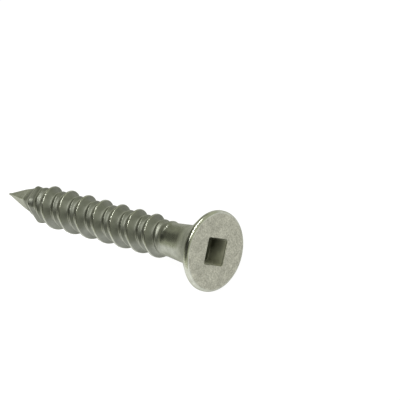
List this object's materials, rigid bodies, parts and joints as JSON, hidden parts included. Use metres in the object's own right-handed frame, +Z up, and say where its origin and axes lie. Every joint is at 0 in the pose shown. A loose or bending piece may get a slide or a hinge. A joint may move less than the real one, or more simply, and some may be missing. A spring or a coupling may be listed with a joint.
{
  "type": "concrete screw",
  "caption": "Flat countersunk masonry screw with a square drive recess, a high and a low thread and a four-sided point, lying at rest.",
  "frame": {"origin": "centre of the bounding box's bottom face, on the surface that the screw lies on", "axes": "+X along the length towards the head, +Y across, +Z up from the surface; the screw's axis lies in the XZ plane and rises 5.4 degrees towards the head"},
  "size_m": [0.0448, 0.0126, 0.0126],
  "materials": {
    "steel": "matt, plated, faintly mottled"
  },
  "bodies": {
    "root": {"screw": "steel"}
  },
  "joints": []
}
